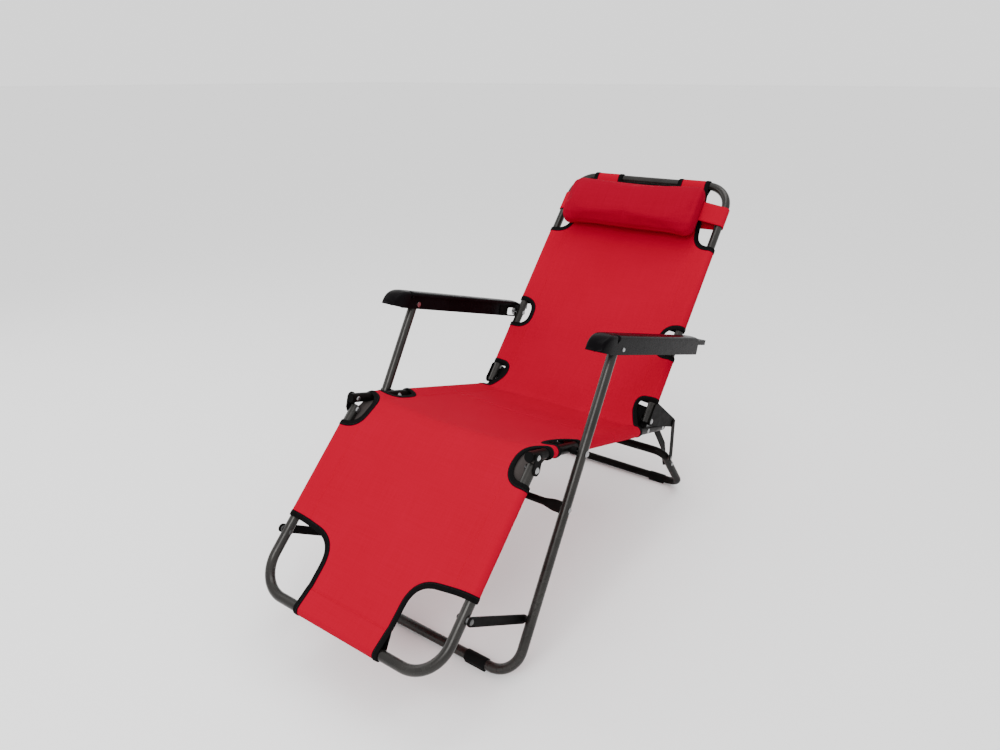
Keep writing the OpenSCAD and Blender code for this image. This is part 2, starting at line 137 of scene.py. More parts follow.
turn_from = {"rest": -0.052, "seat_front": -0.080, "seat_rear": 0.374, "back": 0.070}
marks = {
    "rest_end": on_line(knee, rest_run, -rest_len),
    "rest": on_line(knee, rest_run, turn_from["rest"]),
    "seat_front": on_line(leg_pivot, seat_run, turn_from["seat_front"]),
    "seat_rear": on_line(leg_pivot, seat_run, turn_from["seat_rear"]),
    "back": on_line(hip, back_run, turn_from["back"]),
    "top": on_line(hip, back_run, back_len),
}
knee_corner = crossing(knee, rest_run, leg_pivot, seat_run)
hip_corner = crossing(hip, back_run, leg_pivot, seat_run)
line = np.vstack([
    np.linspace(marks["rest_end"], marks["rest"], 40)[:-1],
    turn(marks["rest"], knee_corner, marks["seat_front"])[:-1],
    np.linspace(marks["seat_front"], marks["seat_rear"], 40)[:-1],
    turn(marks["seat_rear"], hip_corner, marks["back"])[:-1],
    np.linspace(marks["back"], marks["top"], 40),
])
line_v = np.concatenate([[0], np.cumsum(np.linalg.norm(np.diff(line, axis=0), axis=1))])

def v_near(point):
    return float(line_v[np.argmin(np.linalg.norm(line - point, axis=1))])

v_rest, v_seat = v_near(marks["rest"]), v_near(marks["seat_front"])
v_seat_rear, v_back, v_top = v_near(marks["seat_rear"]), v_near(marks["back"]), line_v[-1]

def v_on_rest(t):
    return rest_len - t

def v_on_seat(s):
    return v_seat + s - turn_from["seat_front"]

def v_on_back(t):
    return v_back + t - turn_from["back"]

print(f"cloth runs {v_top:.3f} m over the bars, knee at {v_rest:.3f}, hip at {v_seat_rear:.3f}")

# %% [markdown]
# Along both sides, and over the two end bars, the cloth is folded round the tube and sewn back to itself. The
# sleeve that this makes is a straight pull from the stitches to the top of the tube, an arc round it, and
# the same pull back underneath. `sleeve` turns a distance along the cloth into that shape.

# %% Sleeve round a tube
lap = 0.045
cloth_lift = 0.004
cloth_t = 0.0009
wrap_r = tube_r + 0.0018

def sleeve_facts():
    near, far = np.array([-lap, cloth_lift]), np.array([-lap, cloth_lift - 0.0026])
    start = math.atan2(near[1], near[0]) - math.acos(wrap_r / np.hypot(*near))
    end = math.atan2(far[1], far[0]) + math.acos(wrap_r / np.hypot(*far)) - 2 * math.pi
    pull = math.sqrt(near @ near - wrap_r ** 2)
    back_pull = math.sqrt(far @ far - wrap_r ** 2)
    return near, far, start, end, pull, wrap_r * (start - end), back_pull

sleeve_near, sleeve_far, arc_start, arc_end, pull, arc, back_pull = sleeve_facts()
sleeve_len = pull + arc + back_pull

def sleeve(q):
    q = np.clip(q, 0, sleeve_len)[:, None]
    angle = arc_start - np.clip((q[:, 0] - pull) / wrap_r, 0, arc_start - arc_end)
    round_tube = wrap_r * np.stack([np.cos(angle), np.sin(angle)], 1)
    top, bottom = [wrap_r * np.array([math.cos(a), math.sin(a)]) for a in (arc_start, arc_end)]
    going = sleeve_near + (top - sleeve_near) * q / pull
    coming = bottom + (sleeve_far - bottom) * (q - pull - arc) / back_pull
    return np.where(q < pull, going, np.where(q > pull + arc, coming, round_tube))

panel_half = tube_x - lap
cloth_half = panel_half + sleeve_len
print(f"the flat cloth is {2 * cloth_half:.3f} m wide, {2 * panel_half:.3f} m of it between the stitches")

# %% [markdown]
# `cloth_point` hangs any point of the flat cloth on the frame: u is the distance from the middle and v the
# distance along. Between the stitches the cloth sags a little, pulls straight across the hollow of the hip,
# and has faint soft folds, because woven polyester never hangs perfectly flat.

# %% From flat cloth to hung cloth
sag_at = np.array([0, 0.10, v_rest - 0.05, (v_rest + v_seat) / 2, v_seat + 0.12, v_seat_rear - 0.10,
                   (v_seat_rear + v_back) / 2, v_back + 0.10, v_top - 0.20, v_top])
sag_deep = np.array([0, 0.005, 0.008, 0.010, 0.011, 0.006, -0.014, 0.006, 0.008, 0])

def smooth_step(x):
    x = np.clip(x, 0, 1)
    return x * x * (3 - 2 * x)

def sag(v):
    k = np.clip(np.searchsorted(sag_at, v) - 1, 0, len(sag_at) - 2)
    mix = smooth_step((v - sag_at[k]) / (sag_at[k + 1] - sag_at[k]))
    return sag_deep[k] + (sag_deep[k + 1] - sag_deep[k]) * mix

def soft_folds(u, v):
    slow = np.sin(21 * v + 7 * u + 1.3 * np.sin(9 * u)) * np.sin(17 * u - 5 * v + 0.7)
    crease = np.exp(-((v - (v_seat_rear + v_back) / 2 - 0.12 * np.abs(u)) / 0.05) ** 2)
    drag = crease * np.sin(95 * np.abs(u) + 60 * (v - v_back))
    return 0.0009 * slow + 0.0007 * drag

def cloth_point(u, v):
    u, v = np.asarray(u, float), np.asarray(v, float)
    side, away = np.sign(u), np.abs(u)
    across = sleeve(away - panel_half)
    x = np.where(away > panel_half, tube_x + across[:, 0], away)
    inside = 1 - np.clip(away / panel_half, 0, 1) ** 2
    up = np.where(away > panel_half, across[:, 1], cloth_lift - sag(v) * inside)
    over_end, over_top = sleeve(lap - v), sleeve(v - v_top + lap)
    calm = smooth_step((v - lap) / 0.1) * smooth_step((v_top - lap - v) / 0.1) * np.sqrt(inside)
    up = up + soft_folds(u, v) * calm
    up = np.where(v < lap, over_end[:, 1], np.where(v > v_top - lap, over_top[:, 1], up))
    s = np.where(v < lap, -over_end[:, 0], np.where(v > v_top - lap, v_top + over_top[:, 0], v))
    held = np.clip(s, 0, v_top)
    y, z = np.interp(held, line_v, line[:, 0]), np.interp(held, line_v, line[:, 1])
    ahead, behind = np.clip(held + 0.004, 0, v_top), np.clip(held - 0.004, 0, v_top)
    ty = np.interp(ahead, line_v, line[:, 0]) - np.interp(behind, line_v, line[:, 0])
    tz = np.interp(ahead, line_v, line[:, 1]) - np.interp(behind, line_v, line[:, 1])
    size = np.hypot(ty, tz)
    ty, tz = ty / size, tz / size
    y, z = y + ty * (s - held) - tz * up, z + tz * (s - held) + ty * up
    return np.stack([side * x, y, z], 1)

def cloth_normal(u, v):
    d = 0.0006
    du = cloth_point(u + d, v) - cloth_point(u - d, v)
    dv = cloth_point(u, v + d) - cloth_point(u, v - d)
    n = np.cross(du, dv)
    return n / np.linalg.norm(n, axis=1)[:, None]

print("sag", sag(np.linspace(0, v_top, 5)).round(4))

# %% [markdown]
# The cloth is cut before it is hung. Each side has cut-outs where metal must pass: round the corners of the
# leg rest, at the knee, at the leg pivot, at the hip, at the armrest pin and round the upper corners, and a
# hand gap is left under the top bar. A cut-out is drawn as a few corners, each with its own rounding.

# %% Corners and rounding
def rounded(corners, step=0.004):
    pts = [np.array(c[:2], float) for c in corners]
    out = [pts[0]]
    for i in range(1, len(pts) - 1):
        r = corners[i][2] if len(corners[i]) > 2 else 0
        a, b = pts[i - 1] - pts[i], pts[i + 1] - pts[i]
        reach = min(r, 0.48 * np.linalg.norm(a), 0.48 * np.linalg.norm(b))
        if reach <= 0:
            out.append(pts[i])
            continue
        p, q = pts[i] + a / np.linalg.norm(a) * reach, pts[i] + b / np.linalg.norm(b) * reach
        out.extend(turn(p, pts[i], q, 14))
    out.append(pts[-1])
    out = np.array(out)
    run = np.concatenate([[0], np.cumsum(np.linalg.norm(np.diff(out, axis=0), axis=1))])
    at = np.linspace(0, run[-1], max(2, int(run[-1] / step) + 1))
    return np.stack([np.interp(at, run, out[:, 0]), np.interp(at, run, out[:, 1])], 1)

w = cloth_half
cut = {
    "rest_corner": rounded([(0.116, lap - sleeve_len), (0.118, v_on_rest(0.287), 0.058),
                            (0.222, v_on_rest(0.273), 0.03), (w, v_on_rest(0.273))]),
    "knee": rounded([(w, v_on_rest(0.036)), (0.208, v_on_rest(0.036), 0.040),
                     (0.208, v_on_seat(-0.092), 0.040), (w, v_on_seat(-0.092))]),
    "leg": rounded([(w, v_on_seat(-0.050)), (0.208, v_on_seat(-0.050), 0.036),
                    (0.208, v_on_seat(0.034), 0.036), (w, v_on_seat(0.034))]),
    "hip": rounded([(w, v_on_seat(0.363)), (0.248, v_on_seat(0.365), 0.012), (0.211, v_on_back(0.020), 0.024),
                    (0.211, v_on_back(0.048), 0.026), (w, v_on_back(0.048))]),
    "arm": rounded([(w, v_on_back(0.180)), (0.207, v_on_back(0.180), 0.034),
                    (0.207, v_on_back(0.255), 0.034), (w, v_on_back(0.255))]),
    "top_corner": rounded([(w, v_on_back(0.505)), (0.205, v_on_back(0.507), 0.040),
                           (0.187, v_on_back(0.640), 0.05), (0.180, v_on_back(0.69), 0.01),
                           (0.180, v_top - lap + sleeve_len)]),
}
gap_corners = [(0.089, v_top - lap + sleeve_len), (0.089, v_on_back(back_len - 0.015), 0.004),
               (-0.089, v_on_back(back_len - 0.015), 0.004), (-0.089, v_top - lap + sleeve_len)]
cut["gap"] = rounded(gap_corners)
v_split = v_on_seat(0.20)
print("cut-outs:", {k: len(c) for k, c in cut.items()})

# %% [markdown]
# Cloth with rounded cut-outs doesn't fit a plain grid. A constrained Delaunay triangulation does: it takes
# the exact outline and a grid of inner points, and joins them with even triangles. The band is made as two
# sheets that meet edge to edge across the seat, because a sheet may bend over only one hinge. The meeting
# edge has the same points on both sheets, so no step or seam shows.

# %% Triangulate an outline
def inside_outline(p, ring):
    a, b = ring, np.roll(ring, -1, axis=0)
    hit = np.zeros(len(p), bool)
    for (ax, ay), (bx, by) in zip(a, b):
        cross = (ay > p[:, 1]) != (by > p[:, 1])
        if cross.any():
            x = ax + (p[:, 1] - ay) * (bx - ax) / (by - ay if by != ay else 1e-12)
            hit ^= cross & (p[:, 0] < x)
    return hit

def fill(ring, inner, clear=0.0022):
    near = np.full(len(inner), 1e9)
    for chunk in np.array_split(ring, 40):
        near = np.minimum(near, np.linalg.norm(inner[:, None] - chunk[None], axis=2).min(1))
    inner = inner[(near > clear) & inside_outline(inner, ring)]
    pts = [Vector(p) for p in np.vstack([ring, inner])]
    verts, _, faces, *_ = geometry.delaunay_2d_cdt(pts, [], [list(range(len(ring)))], 1, 1e-7)
    return np.array([[p.x, p.y] for p in verts]), faces

def grid_points(v0, v1):
    us = np.concatenate([np.linspace(0, panel_half, 24), panel_half + np.linspace(0, pull, 7)[1:],
                         panel_half + pull + np.linspace(0, arc, 19)[1:],
                         panel_half + pull + arc + np.linspace(0, back_pull, 6)[1:-1]])
    us = np.concatenate([-us[:0:-1], us])
    vs = np.arange(v0, v1, 0.0085)
    return np.stack(np.meshgrid(us, vs), -1).reshape(-1, 2)

def mirrored(points):
    return points[::-1] * np.array([-1, 1])

# %% Cut the two sheets
def straight(a, b, step=0.0025):
    n = max(2, int(np.hypot(b[0] - a[0], b[1] - a[1]) / step))
    return np.linspace(a, b, n)

def join(*runs):
    out = [runs[0]]
    for r in runs[1:]:
        out.append(straight(out[-1][-1], r[0])[1:-1])
        out.append(r)
    return np.vstack(out)

seam_edge = straight((w, v_split), (-w, v_split), 0.003)
front_side = join(cut["rest_corner"], cut["knee"], cut["leg"], seam_edge[:1])
front_ring = join(front_side[:-1], seam_edge, mirrored(front_side)[1:], front_side[:1])[:-1]
back_side = join(seam_edge[:1], cut["hip"], cut["arm"], cut["top_corner"], cut["gap"][:1])
back_ring = join(back_side[:-1], cut["gap"], mirrored(back_side)[1:], seam_edge[::-1][1:-1])
front_flat, front_tris = fill(front_ring, grid_points(lap - sleeve_len, v_split))
back_flat, back_tris = fill(back_ring, grid_points(v_split + 0.0085, v_top - lap + sleeve_len))

def flat_area(pts, tris):
    a, b, c = (pts[[t[i] for t in tris]] for i in range(3))
    return float(np.abs(np.cross(b - a, c - a)).sum() / 2)

front_area, back_area = flat_area(front_flat, front_tris), flat_area(back_flat, back_tris)
print(f"front sheet {front_area:.3f} m2 in {len(front_tris)} triangles,",
      f"back sheet {back_area:.3f} m2 in {len(back_tris)}")

# %% [markdown]
# Finishes come next. The sling is plain woven polyester: two crossing sets of threads, slightly uneven in
# thickness and dye. The weave follows the flat cloth through its UV map, which holds u and v in metres, so
# threads run along and across the sling wherever it bends.

# %% Material helpers
def finish(name, roughness, metallic=0.0, sheen=0.0, coat=0.0, specular=0.5):
    material = bpy.data.materials.new(name)
    material.use_nodes = True
    shader = material.node_tree.nodes["Principled BSDF"]
    shader.inputs["Roughness"].default_value = roughness
    shader.inputs["Metallic"].default_value = metallic
    shader.inputs["Sheen Weight"].default_value = sheen
    shader.inputs["Sheen Roughness"].default_value = 0.45
    shader.inputs["Coat Weight"].default_value = coat
    shader.inputs["Specular IOR Level"].default_value = specular
    return material, material.node_tree, shader

def node(tree, kind, **values):
    made = tree.nodes.new(kind)
    for key, value in values.items():
        socket = made.inputs.get(key.replace("_", " "))
        if socket is not None:
            socket.default_value = value
        else:
            setattr(made, key, value)
    return made

def place(tree, vector, size, turn_by=(0, 0, 0)):
    mapping = node(tree, "ShaderNodeMapping", Scale=size, Rotation=turn_by)
    tree.links.new(vector, mapping.inputs["Vector"])
    return mapping.outputs["Vector"]

def noise(tree, vector, scale, detail=3.0):
    made = node(tree, "ShaderNodeTexNoise", Scale=scale, Detail=detail)
    tree.links.new(vector, made.inputs["Vector"])
    return made.outputs["Fac"]

def between(tree, value, low, high, from_low=0.3, from_high=0.7):
    made = node(tree, "ShaderNodeMapRange")
    for key, number in zip(("From Min", "From Max", "To Min", "To Max"), (from_low, from_high, low, high)):
        made.inputs[key].default_value = number
    tree.links.new(value, made.inputs["Value"])
    return made.outputs["Result"]

def two_tone(tree, value, dark, light):
    ramp = node(tree, "ShaderNodeValToRGB")
    ramp.color_ramp.elements[0].position, ramp.color_ramp.elements[1].position = 0.32, 0.68
    ramp.color_ramp.elements[0].color = (*dark, 1)
    ramp.color_ramp.elements[1].color = (*light, 1)
    tree.links.new(value, ramp.inputs["Fac"])
    return ramp.outputs["Color"]

def relief(tree, shader, height, strength, distance):
    bump = node(tree, "ShaderNodeBump", Strength=strength, Distance=distance)
    tree.links.new(height, bump.inputs["Height"])
    tree.links.new(bump.outputs["Normal"], shader.inputs["Normal"])

def maths(tree, operation, a, b):
    made = node(tree, "ShaderNodeMath", operation=operation)
    for socket, value in zip(made.inputs, (a, b)):
        if isinstance(value, (int, float)):
            socket.default_value = value
        else:
            tree.links.new(value, socket)
    return made.outputs[0]

# %% Woven cloth
thread_pitch = 0.0008

def woven(name, dark, light, pitch=thread_pitch, sheen=0.0, from_uv=True, turn_by=(0, 0, 0), strength=0.35):
    material, tree, shader = finish(name, 0.9, sheen=sheen, specular=0.03)
    shader.inputs["Sheen Tint"].default_value = (*[min(1, c * 1.6 + 0.02) for c in light], 1)
    if from_uv:
        vector = node(tree, "ShaderNodeUVMap", uv_map="cloth").outputs["UV"]
    else:
        vector = place(tree, node(tree, "ShaderNodeTexCoord").outputs["Object"], (1, 1, 1), turn_by)
    waves = []
    for direction in ("X", "Y"):
        wave = node(tree, "ShaderNodeTexWave", bands_direction=direction, Scale=2 * math.pi / (20 * pitch))
        tree.links.new(vector, wave.inputs["Vector"])
        waves.append(wave.outputs["Fac"])
    weave = maths(tree, "MULTIPLY", *waves)
    warp = noise(tree, place(tree, vector, (420, 9, 9)), 1.0)
    weft = noise(tree, place(tree, vector, (9, 420, 9)), 1.0)
    cloudy = noise(tree, vector, 6.0)
    uneven = maths(tree, "ADD", maths(tree, "MULTIPLY", maths(tree, "ADD", warp, weft), 0.35),
                   maths(tree, "MULTIPLY", cloudy, 0.3))
    tree.links.new(two_tone(tree, uneven, dark, light), shader.inputs["Base Color"])
    relief(tree, shader, maths(tree, "ADD", weave, maths(tree, "MULTIPLY", uneven, 0.8)), strength, 0.00022)
    return material

back_turn = math.atan2(back_run[1], back_run[0])
red_cloth = woven("red woven polyester", (0.295, 0.0, 0.013), (0.330, 0.0, 0.017), strength=0.16)
pillow_cloth = woven("red pillow cloth", (0.215, 0.0, 0.011), (0.245, 0.0, 0.014), from_uv=False,
                     turn_by=(-back_turn, 0, 0), strength=0.16)
black_tape = woven("black binding tape", (0.0022, 0.0022, 0.0022), (0.0052, 0.0050, 0.0052), pitch=0.0011,
                   sheen=0.03, from_uv=False, strength=0.5)
red_thread = woven("red thread", (0.40, 0.0, 0.012), (0.50, 0.002, 0.02), pitch=0.0006, from_uv=False)
# Painted shade: this dark grey cloth is used only for the sheets in the knee cut-outs, where it stands in for
# shadow.
shade_grey_cloth = woven("warm grey painted shade cloth", (0.040, 0.034, 0.033), (0.054, 0.046, 0.044), strength=0.16)
black_thread = woven("black thread", (0.012, 0.012, 0.013), (0.035, 0.033, 0.034), pitch=0.0006, from_uv=False)
print("cloths ready")

# %% [markdown]
# The tubes are powder coated in a dark warm grey with a little metal in it. Powder coat melts into a faintly
# pebbled skin, so its roughness drifts and its surface has a very fine relief. The flat plates are a plainer
# satin black. The plastic is moulded with a fine grain. The rivets and screws are zinc plated, and those of
# the links and stays are blackened.

# %% Metal and plastic
def coated(name, dark, light, metallic, roughness, grain=900.0, depth=0.00006, specular=0.5):
    material, tree, shader = finish(name, roughness, metallic, specular=specular)
    vector = node(tree, "ShaderNodeTexCoord").outputs["Object"]
    drift = noise(tree, vector, 14.0, 4.0)
    rubbed = noise(tree, vector, 70.0, 5.0)
    tree.links.new(two_tone(tree, drift, dark, light), shader.inputs["Base Color"])
    tree.links.new(between(tree, rubbed, roughness - 0.06, roughness + 0.08), shader.inputs["Roughness"])
    relief(tree, shader, noise(tree, vector, grain, 2.0), 0.35, depth)
    return material

tube_coat = coated("bronze grey powder coat", (0.014, 0.0130, 0.0120), (0.026, 0.0242, 0.0222), 0.50, 0.26,
                   specular=0.35)
rear_coat = coated("black powder coat", (0.0035, 0.0030, 0.0029), (0.0075, 0.0064, 0.0060), 0.20, 0.34,
                   specular=0.03)
plate_coat = coated("satin black plate", (0.0020, 0.0019, 0.0018), (0.0044, 0.0041, 0.0040), 0.0, 0.46,
                    specular=0.02)
arm_plastic = coated("moulded black plastic", (0.0022, 0.0018, 0.0022), (0.0045, 0.0038, 0.0045), 0.0, 0.27,
                     grain=1500.0, depth=0.00003, specular=0.025)
trim_plastic = coated("black trim plastic", (0.0024, 0.0024, 0.0024), (0.0055, 0.0055, 0.0055), 0.0, 0.42,
                      grain=1500.0, specular=0.02)
zinc = coated("bright zinc plate", (0.20, 0.20, 0.205), (0.34, 0.34, 0.345), 0.95, 0.28, grain=400.0)
dull_zinc = coated("blackened zinc", (0.05, 0.05, 0.05), (0.11, 0.11, 0.11), 0.90, 0.34, grain=400.0)
print("metals and plastics ready")

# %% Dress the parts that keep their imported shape
coats = {
    tube_coat: ["backrest_tube", "footrest_tube", "front_leg_tube"],
    rear_coat: ["seat_rail_left", "seat_rail_right", "rear_leg_ring", "leg_crossbar"],
    plate_coat: ["knee_bracket", "hip_bracket", "foot_link", "rear_plate_left", "rear_plate_right", "gusset",
                 "stay_left", "stay_right", "armrest_track"],
    trim_plastic: ["rail_end_caps", "backrest_end_caps", "footrest_end_caps", "leg_top_caps", "leg_bushes",
                   "front_foot_sleeves", "rear_foot_sleeves"],
    dull_zinc: ["link_rivets", "stay_rivets"],
}
for name, part in frame["nodes"].items():
    coat = next((m for m, starts in coats.items() if any(name.startswith(s) for s in starts)), zinc)
    part.data.materials.clear()
    part.data.materials.append(coat)
print("dressed", len(frame["nodes"]), "parts")

# %% [markdown]
# Every new mesh goes through one helper, which links it, shades it smooth and stores its flat coordinates.
# The two sheets are hung by `cloth_point` and given their thickness by a Solidify modifier.

# %% Hang the two sheets
def piece(name, points, faces, material, uv=None, smooth=True):
    mesh = bpy.data.meshes.new(name)
    mesh.from_pydata([tuple(p) for p in points], [], [tuple(f) for f in faces])
    mesh.materials.append(material)
    if uv is not None:
        layer = mesh.uv_layers.new(name="cloth")
        corner = np.zeros(len(mesh.loops), int)
        mesh.loops.foreach_get("vertex_index", corner)
        layer.data.foreach_set("uv", np.asarray(uv)[corner].astype(np.float32).ravel())
    mesh.polygons.foreach_set("use_smooth", [smooth] * len(mesh.polygons))
    made = bpy.data.objects.new(name, mesh)
    bpy.context.scene.collection.objects.link(made)
    return made

def thicken(made, thickness):
    wall = made.modifiers.new("thickness", "SOLIDIFY")
    wall.thickness, wall.offset = thickness, 0
    return made

def at(point):
    return (0.0, float(point[0]), float(point[1]))

knee_bend = (at(on_line(leg_pivot, seat_run, -0.078)), at(on_line(knee, rest_run, -0.046)))
hip_bend = (at(on_line(leg_pivot, seat_run, 0.366)), at(on_line(hip, back_run, 0.060)))

def goes_with_front(made):
    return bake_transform(made)

def goes_with_back(made):
    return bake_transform(made)

front_sheet = piece("sling_front", cloth_point(*front_flat.T), front_tris, red_cloth, front_flat)
back_sheet = piece("sling_back", cloth_point(*back_flat.T), back_tris, red_cloth, back_flat)
thicken(goes_with_front(front_sheet), cloth_t)
thicken(goes_with_back(back_sheet), cloth_t)
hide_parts("foot_sling", "seat_sling")
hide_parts("back_sling")

# %% [markdown]
# Each cut-out is bound with a black tape, folded over the raw edge and sewn down. A tape is swept along the
# flat outline, with its section turned into the cloth, and then hung with the same rule as the cloth, so it
# follows the sag and goes round the tubes with it.

# %% Bind the cut-outs
tape_w = 0.0120
tape_section = np.array([
    (tape_w, 0.0006), (tape_w - 0.0004, 0.0012), (tape_w / 2, 0.0015), (0.0006, 0.0013), (-0.0011, 0),
    (0.0006, -0.0013), (tape_w / 2, -0.0015), (tape_w - 0.0004, -0.0012), (tape_w, -0.0006)])

def into_cloth(path, ring):
    run = np.gradient(path, axis=0)
    run /= np.linalg.norm(run, axis=1)[:, None]
    square = np.stack([-run[:, 1], run[:, 0]], 1)
    middle = len(path) // 2
    probe = path[middle] + 0.004 * square[middle]
    return square if inside_outline(probe[None], ring)[0] else -square

def hung_strip(path, ring, section):
    square = into_cloth(path, ring)
    rows = []
    for inwards, height in section:
        flat = path + square * inwards
        rows.append(cloth_point(*flat.T) + height * cloth_normal(*flat.T))
    return np.stack(rows, 1)

def tube_faces(rows, columns, start):
    faces = []
    for i in range(rows - 1):
        for j in range(columns):
            k = (j + 1) % columns
            a, b = start + i * columns, start + (i + 1) * columns
            faces.append((a + j, a + k, b + k, b + j))
    last = start + (rows - 1) * columns
    return faces + [tuple(range(start, start + columns)), tuple(range(last, last + columns))]

def face_outwards(made):
    work = bmesh.new()
    work.from_mesh(made.data)
    bmesh.ops.recalc_face_normals(work, faces=work.faces)
    work.to_mesh(made.data)
    work.free()
    return made

def bind(name, paths, ring):
    points, faces = [], []
    for path in paths:
        strip = hung_strip(path, ring, tape_section)
        faces += tube_faces(len(strip), len(tape_section), sum(len(p) for p in points))
        points.append(strip.reshape(-1, 3))
    return face_outwards(piece(name, np.vstack(points), faces, black_tape))

def on_both_sides(*names):
    return [path for name in names for path in (cut[name], mirrored(cut[name]))]

front_cuts = on_both_sides("rest_corner", "knee", "leg")
back_cuts = on_both_sides("hip", "arm", "top_corner") + [cut["gap"]]
front_tape = goes_with_front(bind("binding_front", front_cuts, front_ring))
back_tape = goes_with_back(bind("binding_back", back_cuts, back_ring))
print("taped", len(front_cuts) + len(back_cuts), "edges")

# %% [markdown]
# A sewing machine repeats one stitch along a line, which is work for Geometry Nodes. The tree turns a line
# into a curve, spaces points along it, sets a small bead of thread on each, turned to the line, and makes the
# beads real. Spacing, stitch length and thread radius are its inputs.

# %% The stitching tree
def new_tree(name, inputs):
    tree = bpy.data.node_groups.new(name, "GeometryNodeTree")
    tree.interface.new_socket("Geometry", in_out="INPUT", socket_type="NodeSocketGeometry")
    for label, kind, value in inputs:
        socket = tree.interface.new_socket(label, in_out="INPUT", socket_type=kind)
        socket.default_value = value
    tree.interface.new_socket("Geometry", in_out="OUTPUT", socket_type="NodeSocketGeometry")
    return tree, tree.nodes.new("NodeGroupInput"), tree.nodes.new("NodeGroupOutput")

def run_tree(made, tree, material, **values):
    modifier = made.modifiers.new("nodes", "NODES")
    modifier.node_group = tree
    for item in tree.interface.items_tree:
        if item.in_out == "INPUT" and item.name in values:
            modifier[item.identifier] = values[item.name]
    bpy.context.view_layer.update()
    mesh = bpy.data.meshes.new_from_object(made.evaluated_get(bpy.context.evaluated_depsgraph_get()))
    made.modifiers.remove(modifier)
    made.data = mesh
    mesh.materials.clear()
    mesh.materials.append(material)
    mesh.polygons.foreach_set("use_smooth", [True] * len(mesh.polygons))
    return made

def stitch_tree(material):
    tree, source, result = new_tree("stitches " + material.name, [
        ("Spacing", "NodeSocketFloat", 0.0034), ("Stitch", "NodeSocketFloat", 0.0024),
        ("Thread", "NodeSocketFloat", 0.0004)])
    link = tree.links.new
    curve = tree.nodes.new("GeometryNodeMeshToCurve")
    spaced = tree.nodes.new("GeometryNodeResampleCurve")
    spaced.mode = "LENGTH"
    bead = node(tree, "GeometryNodeMeshUVSphere", Segments=6, Rings=4, Radius=1.0)
    size = tree.nodes.new("ShaderNodeCombineXYZ")
    half = node(tree, "ShaderNodeMath", operation="MULTIPLY")
    half.inputs[1].default_value = 0.5
    tangent = tree.nodes.new("GeometryNodeInputTangent")
    turned = tree.nodes.new("FunctionNodeAlignRotationToVector")
    turned.axis = "Z"
    beads = tree.nodes.new("GeometryNodeInstanceOnPoints")
    real, coat = tree.nodes.new("GeometryNodeRealizeInstances"), tree.nodes.new("GeometryNodeSetMaterial")
    coat.inputs["Material"].default_value = material
    link(source.outputs["Geometry"], curve.inputs["Mesh"])
    link(curve.outputs["Curve"], spaced.inputs["Curve"])
    link(source.outputs["Spacing"], spaced.inputs["Length"])
    link(source.outputs["Stitch"], half.inputs[0])
    link(source.outputs["Thread"], size.inputs["X"])
    link(source.outputs["Thread"], size.inputs["Y"])
    link(half.outputs[0], size.inputs["Z"])
    link(tangent.outputs[0], turned.inputs["Vector"])
    link(spaced.outputs["Curve"], beads.inputs["Points"])
    link(bead.outputs["Mesh"], beads.inputs["Instance"])
    link(turned.outputs["Rotation"], beads.inputs["Rotation"])
    link(size.outputs["Vector"], beads.inputs["Scale"])
    link(beads.outputs["Instances"], real.inputs["Geometry"])
    link(real.outputs["Geometry"], coat.inputs["Geometry"])
    link(coat.outputs["Geometry"], result.inputs["Geometry"])
    return tree

def sew(name, runs, material, **values):
    mesh = bpy.data.meshes.new(name)
    points = np.vstack(runs)
    starts = np.cumsum([0] + [len(r) for r in runs])
    edges = [(i, i + 1) for a, b in zip(starts, starts[1:]) for i in range(a, b - 1)]
    mesh.from_pydata([tuple(p) for p in points], edges, [])
    made = bpy.data.objects.new(name, mesh)
    bpy.context.scene.collection.objects.link(made)
    return run_tree(made, stitch_tree(material), material, **values)

# %% Sew the tape and the sleeves
def tape_runs(paths, ring):
    runs = []
    for path in paths:
        strip = hung_strip(path, ring, [(tape_w * 0.72, 0.0016), (tape_w * 0.72, -0.0016)])
        runs += [strip[:, 0], strip[:, 1]]
    return runs

def sleeve_run(v0, v1, side, height):
    v = np.linspace(v0, v1, max(3, int((v1 - v0) / 0.006)))
    u = np.full_like(v, side * (panel_half + 0.0015))
    return cloth_point(u, v) + height * cloth_normal(u, v)

def hem_run(u0, u1, v, height):
    u = np.linspace(u0, u1, max(3, int(abs(u1 - u0) / 0.006)))
    return cloth_point(u, np.full_like(u, v)) + height * cloth_normal(u, np.full_like(u, v))

margin = 0.004
above, below = 0.0006, -0.0036
rest_sleeves = [(cut["rest_corner"][-1, 1], cut["knee"][0, 1]), (cut["knee"][-1, 1], cut["leg"][0, 1]),
                (cut["leg"][-1, 1], v_split)]
back_sleeves = [(v_split, cut["hip"][0, 1]), (cut["hip"][-1, 1], cut["arm"][0, 1]),
                (cut["arm"][-1, 1], cut["top_corner"][0, 1])]

def sleeve_runs(spans, hems):
    runs = [sleeve_run(a + margin, b - margin, side, height)
            for a, b in spans for side in (1, -1) for height in (above, below)]
    return runs + [hem_run(u0, u1, v, height) for u0, u1, v in hems for height in (above, below)]

front_hems = [(-0.108, 0.108, lap - 0.0015)]
back_hems = [(0.097, 0.172, v_top - lap + 0.0015), (-0.172, -0.097, v_top - lap + 0.0015)]
threads = [
    goes_with_front(sew("tape_stitches_front", tape_runs(front_cuts, front_ring), black_thread)),
    goes_with_back(sew("tape_stitches_back", tape_runs(back_cuts, back_ring), black_thread)),
    goes_with_front(sew("sleeve_stitches_front", sleeve_runs(rest_sleeves, front_hems), red_thread,
                        Thread=0.00035)),
    goes_with_back(sew("sleeve_stitches_back", sleeve_runs(back_sleeves, back_hems), red_thread,
                       Thread=0.00035)),
]
print("stitches:", [len(t.data.vertices) // 20 for t in threads])

# %% [markdown]
# The head pillow is a stuffed bag with two end panels. It is drawn as a boxy, rounded roll a little smaller
# than its stuffed size, remeshed evenly, and blown up by a short cloth simulation, so its faces crown and its
# edges stay soft. How far any point may move is capped. The seams are pressed in afterwards, because
# remeshing would lose them.

